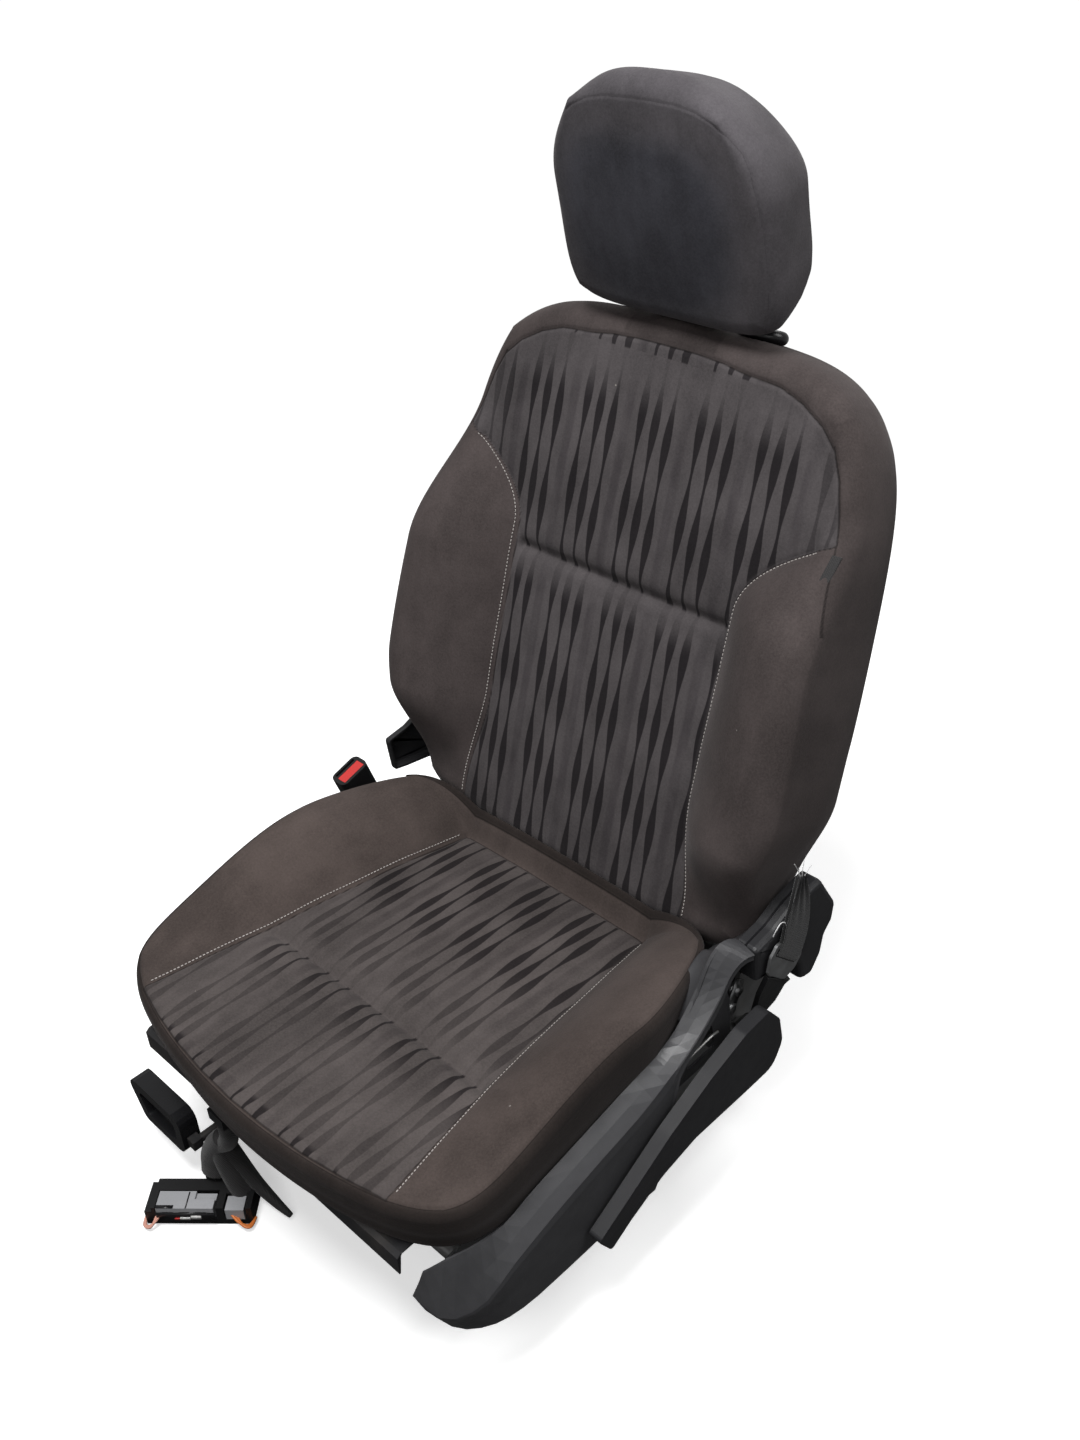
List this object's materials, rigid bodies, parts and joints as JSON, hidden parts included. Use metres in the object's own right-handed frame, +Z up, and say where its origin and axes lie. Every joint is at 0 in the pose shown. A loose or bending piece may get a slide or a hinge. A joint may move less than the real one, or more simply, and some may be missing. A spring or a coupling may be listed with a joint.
{
  "type": "car front seat",
  "caption": "Front seat of a passenger car with sliding rails, pump height adjuster, reclining backrest, sliding head restraint, belt buckle and wiring plug.",
  "frame": {"origin": "centre of the four floor bolts, on the floor", "axes": "+X to the door side, -Y the way the occupant faces, +Z up"},
  "size_m": [0.585, 0.8207, 1.0547],
  "materials": {
    "black_steel": "satin black paint",
    "bare_steel": "zinc plated",
    "nylon": "natural nylon",
    "grey_plastic": "fine grained moulding",
    "black_plastic": "fine grained moulding",
    "red_plastic": "smooth",
    "light_plastic": "smooth",
    "cloth": "short-nap woven cloth over foam",
    "webbing": "woven belt webbing"
  },
  "bodies": {
    "floor_rails": {"lower_rail_outboard": "black_steel", "lower_rail_inboard": "black_steel", "front_feet": "black_steel", "rear_feet": "black_steel"},
    "carriage": {"upper_rail_outboard": "bare_steel", "upper_rail_inboard": "bare_steel", "front_rail_brackets": "black_steel", "rear_rail_brackets": "black_steel", "rail_glides": "nylon", "lower_pivot_bolts": "bare_steel"},
    "slide_release": {"release_handle": "black_plastic", "release_rod": "black_steel"},
    "rear_links": {"rear_links": "bare_steel", "rear_lift_shaft": "bare_steel"},
    "front_links": {"front_links": "bare_steel", "front_lift_shaft": "bare_steel"},
    "seat_frame": {"side_member_outboard": "black_steel", "side_member_inboard": "black_steel", "front_cross_tube": "black_steel", "rear_cross_tube": "black_steel", "seat_pan": "black_steel", "seat_springs": "bare_steel", "shaft_bushes": "nylon", "lift_clutch": "bare_steel", "recliner_outer_plates": "bare_steel", "cushion": "cloth", "outer_shield": "grey_plastic", "recliner_cover_outboard": "grey_plastic", "recliner_cover_inboard": "grey_plastic", "buckle_stalk": "bare_steel", "buckle_housing": "black_plastic", "buckle_bolt": "bare_steel", "belt_anchor_plate": "bare_steel", "belt_sleeve": "black_plastic", "belt_webbing": "webbing", "belt_anchor_bolt": "bare_steel", "loom_clip": "black_plastic", "loom_free": "black_plastic", "connector_block": "black_plastic", "connector_plugs": "light_plastic"},
    "lift_pinion": {"lift_pinion": "bare_steel"},
    "height_lever": {"height_lever": "grey_plastic"},
    "backrest": {"recliner_arms": "black_steel", "backrest_hoop": "black_steel", "backrest_cross_tube": "black_steel", "backrest_wires": "bare_steel", "sleeve_sockets": "black_steel", "guide_sleeve_plain": "black_plastic", "guide_sleeve_lock": "black_plastic", "backrest_pad": "cloth", "rear_panel": "black_plastic", "side_tab": "cloth"},
    "recline_rod": {"recline_rod": "bare_steel"},
    "head_restraint": {"head_restraint_pad": "cloth", "head_restraint_posts": "bare_steel"},
    "lock_button": {"lock_button": "black_plastic"},
    "buckle_button": {"buckle_button": "red_plastic"}
  },
  "joints": [
    {"name": "slide_travel", "type": "slide", "parent": "floor_rails", "child": "carriage", "axis": [0, 1, 0], "range_m": [-0.1, 0.1]},
    {"name": "slide_release", "type": "hinge", "parent": "carriage", "child": "slide_release", "pos_m": [0, -0.196, 0.058], "axis": [-1, 0, 0], "range_deg": [0, 10], "stiffness_Nm_per_rad": 2, "springref_deg": -17.19},
    {"name": "height_lift", "type": "hinge", "parent": "carriage", "child": "rear_links", "pos_m": [0, 0.075, 0.066], "axis": [1, 0, 0], "range_deg": [0, 35]},
    {"name": "frame_level", "type": "hinge", "parent": "rear_links", "child": "seat_frame", "pos_m": [0, 0.16427, 0.09849], "axis": [1, 0, 0], "range_deg": [-35, 0]},
    {"name": "front_link_turn", "type": "hinge", "parent": "seat_frame", "child": "front_links", "pos_m": [0, -0.07573, 0.09849], "axis": [1, 0, 0], "range_deg": [0, 35]},
    {"name": "pinion_turn", "type": "hinge", "parent": "seat_frame", "child": "lift_pinion", "pos_m": [0, 0.0936, 0.16347], "axis": [1, 0, 0], "range_deg": [-189.1, 0]},
    {"name": "lever_pump", "type": "hinge", "parent": "seat_frame", "child": "height_lever", "pos_m": [0, 0.0936, 0.16347], "axis": [1, 0, 0], "range_deg": [-20, 20], "stiffness_Nm_per_rad": 3},
    {"name": "recline", "type": "hinge", "parent": "seat_frame", "child": "backrest", "pos_m": [0, 0.2, 0.235], "axis": [1, 0, 0], "range_deg": [-40, 10]},
    {"name": "recline_rod_turn", "type": "hinge", "parent": "seat_frame", "child": "recline_rod", "pos_m": [0, 0.2, 0.235], "axis": [1, 0, 0], "range_deg": [-1200, 300]},
    {"name": "head_restraint_slide", "type": "slide", "parent": "backrest", "child": "head_restraint", "axis": [0, 0.3746, 0.9272], "range_m": [0, 0.07]},
    {"name": "lock_button_press", "type": "slide", "parent": "backrest", "child": "lock_button", "axis": [1, 0, 0], "range_m": [0, 0.004], "stiffness_N_per_m": 200, "springref_m": -0.004},
    {"name": "buckle_button_press", "type": "slide", "parent": "seat_frame", "child": "buckle_button", "axis": [0, 0.309, -0.9511], "range_m": [0, 0.006], "stiffness_N_per_m": 250, "springref_m": -0.005}
  ],
  "couplings": [
    {"joint": "frame_level", "follows": "height_lift", "ratio": -1},
    {"joint": "front_link_turn", "follows": "height_lift", "ratio": 1},
    {"joint": "pinion_turn", "follows": "height_lift", "ratio": -5.4},
    {"joint": "recline_rod_turn", "follows": "recline", "ratio": 30}
  ]
}
